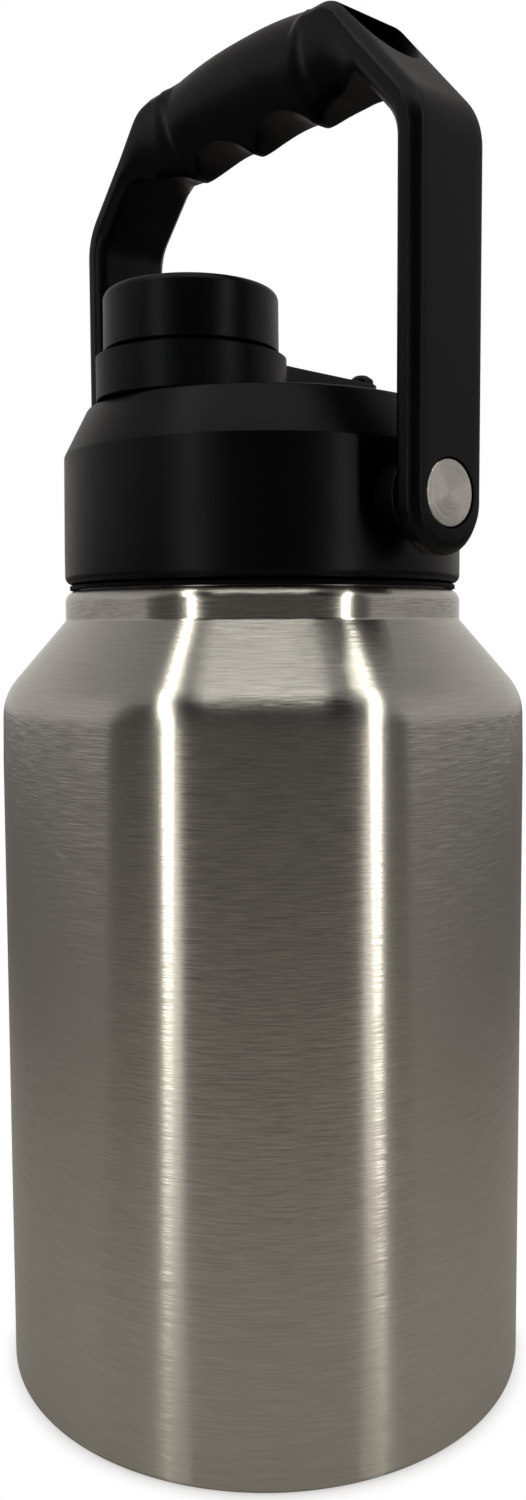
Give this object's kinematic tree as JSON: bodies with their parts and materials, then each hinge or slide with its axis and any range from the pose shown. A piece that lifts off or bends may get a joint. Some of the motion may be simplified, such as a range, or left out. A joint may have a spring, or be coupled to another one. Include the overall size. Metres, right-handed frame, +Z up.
{
  "type": "insulated growler",
  "caption": "Double-wall insulated jug with a screw lid, a tethered cap on the lid's drinking spout and a swinging carry handle.",
  "frame": {"origin": "centre of the jug's foot on the surface it stands on", "axes": "+Z up along the jug's axis; X along the handle's pivots; the spout toward -Y and the tether post toward +Y"},
  "size_m": [0.128, 0.128, 0.323],
  "materials": {
    "outer_shell": "brushed round the axis",
    "inner_flask": "satin",
    "base_plate": "satin",
    "vacuum_seal": "satin",
    "getter": "sintered",
    "lid_body": "satin",
    "lid_plug": "satin",
    "lid_foam": "foam",
    "lid_seal": "silicone",
    "spout": "satin",
    "tether_post": "satin",
    "cap_shell": "satin",
    "cap_liner": "satin",
    "cap_foam": "foam",
    "cap_seal": "silicone",
    "tether": "flexible plastic",
    "handle": "satin",
    "pivot_disc_right": "turned",
    "pivot_disc_left": "turned",
    "pivot_screw_right": "plain",
    "pivot_screw_left": "plain",
    "pivot_washer_right": "nylon",
    "pivot_washer_left": "nylon",
    "pivot_insert_right": "turned",
    "pivot_insert_left": "turned"
  },
  "bodies": {
    "vessel": {"outer_shell": "outer_shell", "inner_flask": "inner_flask", "base_plate": "base_plate", "vacuum_seal": "vacuum_seal", "getter": "getter"},
    "lid_lift": {"lid_seal": "lid_seal"},
    "lid": {"lid_body": "lid_body", "lid_plug": "lid_plug", "lid_foam": "lid_foam", "spout": "spout", "tether_post": "tether_post", "pivot_insert_right": "pivot_insert_right", "pivot_insert_left": "pivot_insert_left", "pivot_screw_right": "pivot_screw_right", "pivot_screw_left": "pivot_screw_left", "pivot_washer_right": "pivot_washer_right", "pivot_washer_left": "pivot_washer_left"},
    "handle": {"handle": "handle", "pivot_disc_right": "pivot_disc_right", "pivot_disc_left": "pivot_disc_left"},
    "cap_lift": {"cap_seal": "cap_seal"},
    "cap": {"cap_shell": "cap_shell", "cap_liner": "cap_liner", "cap_foam": "cap_foam"},
    "tether": {"tether": "tether"}
  },
  "joints": [
    {"name": "lid_rise", "type": "slide", "parent": "vessel", "child": "lid_lift", "axis": [0, 0, 1], "range_m": [0, 0.018]},
    {"name": "lid_turn", "type": "hinge", "parent": "lid_lift", "child": "lid", "pos_m": [0, 0, 0.194], "axis": [0, 0, 1], "range_deg": [0, 540]},
    {"name": "handle_swing", "type": "hinge", "parent": "lid", "child": "handle", "pos_m": [0, 0, 0.21005], "axis": [1, 0, 0], "range_deg": [-115, 115]},
    {"name": "cap_rise", "type": "slide", "parent": "lid", "child": "cap_lift", "axis": [0, 0, 1], "range_m": [0, 0.0045]},
    {"name": "cap_turn", "type": "hinge", "parent": "cap_lift", "child": "cap", "pos_m": [0, -0.0215, 0.2455], "axis": [0, 0, 1], "range_deg": [0, 360]},
    {"name": "tether_tilt", "type": "hinge", "parent": "lid", "child": "tether", "pos_m": [0, 0.0346, 0.24365], "axis": [-1, 0, 0], "range_deg": [0, 3.3]}
  ],
  "couplings": [
    {"joint": "lid_rise", "follows": "lid_turn", "m_per_rad": 0.0019099},
    {"joint": "cap_rise", "follows": "cap_turn", "m_per_rad": 0.0007162},
    {"joint": "tether_tilt", "follows": "cap_turn", "ratio": 0.0090718}
  ]
}
